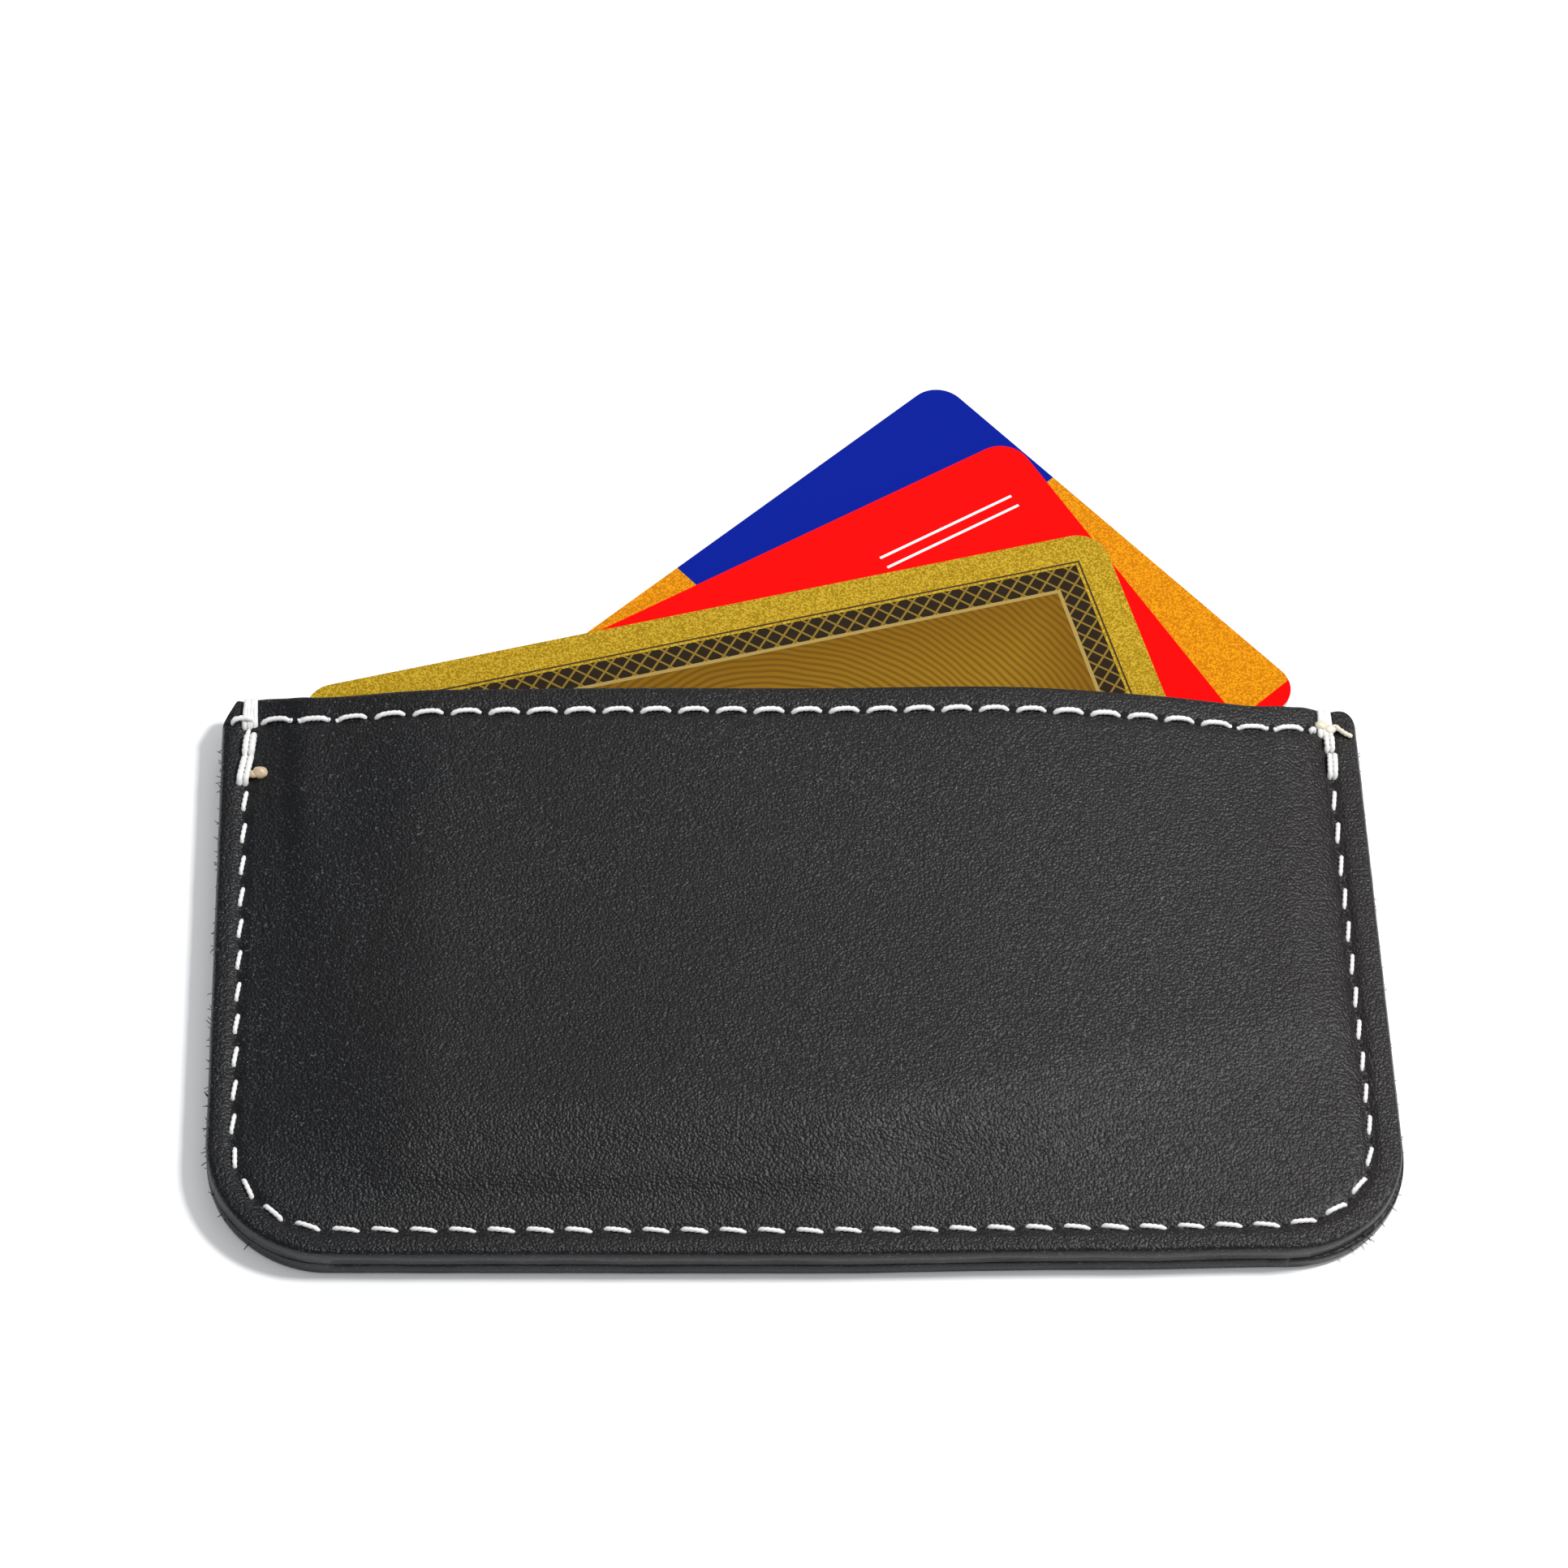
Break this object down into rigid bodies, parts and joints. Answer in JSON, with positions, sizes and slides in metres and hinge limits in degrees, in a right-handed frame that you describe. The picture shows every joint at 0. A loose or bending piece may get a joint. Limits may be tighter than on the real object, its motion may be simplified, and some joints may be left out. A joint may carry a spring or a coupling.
{
  "type": "card holder",
  "caption": "Flat leather sleeve sewn on three sides, open along one long edge, holding standard plastic cards that slide out of its mouth.",
  "frame": {"origin": "centre of the flat back face, midway between the bottom edge and the mouth edge", "axes": "+X along the long side, +Y out of the mouth, +Z out of the front panel"},
  "size_m": [0.1154, 0.1057, 0.0076],
  "materials": {
    "front_leather": "fine-grained black leather, semi-gloss grain side, burnished cut edges",
    "back_leather": "fine-grained black leather, semi-gloss grain side, burnished cut edges",
    "thread": "white twisted polyester thread",
    "thread_end": "melted thread end",
    "card_core": "white card core, cut edge",
    "card_back": "satin laminate",
    "stripe": "magnetic stripe",
    "signature": "writable signature panel",
    "front_card_face": "metallic gold print under a clear film",
    "middle_card_face": "red print under a clear film",
    "rear_card_face": "blue and orange print under a clear film"
  },
  "bodies": {
    "sleeve": {"back_panel": "back_leather", "front_panel": "front_leather", "seam_thread_front": "thread", "seam_thread_back": "thread", "left_backstitch": "thread", "right_backstitch": "thread", "front_mouth_thread_outside": "thread", "front_mouth_thread_inside": "thread", "back_mouth_thread_outside": "thread", "back_mouth_thread_inside": "thread", "left_edge_wrap": "thread", "right_edge_wrap": "thread", "left_thread_end": "thread_end", "right_thread_end": "thread_end"},
    "rear_card": {"rear_card_core": "card_core", "rear_card_face_film": "rear_card_face", "rear_card_back_film": "card_back", "rear_card_stripe": "stripe", "rear_card_signature": "signature"},
    "middle_card": {"middle_card_core": "card_core", "middle_card_face_film": "middle_card_face", "middle_card_back_film": "card_back", "middle_card_stripe": "stripe", "middle_card_signature": "signature"},
    "front_card": {"front_card_core": "card_core", "front_card_face_film": "front_card_face", "front_card_back_film": "card_back", "front_card_stripe": "stripe", "front_card_signature": "signature"}
  },
  "joints": [
    {"name": "rear_card_slide", "type": "slide", "parent": "sleeve", "child": "rear_card", "axis": [0, 1, 0], "range_m": [-0.005, 0.053]},
    {"name": "middle_card_slide", "type": "slide", "parent": "sleeve", "child": "middle_card", "axis": [0, 1, 0], "range_m": [-0.0027, 0.054]},
    {"name": "front_card_slide", "type": "slide", "parent": "sleeve", "child": "front_card", "axis": [0, 1, 0], "range_m": [-0.004, 0.051]}
  ]
}
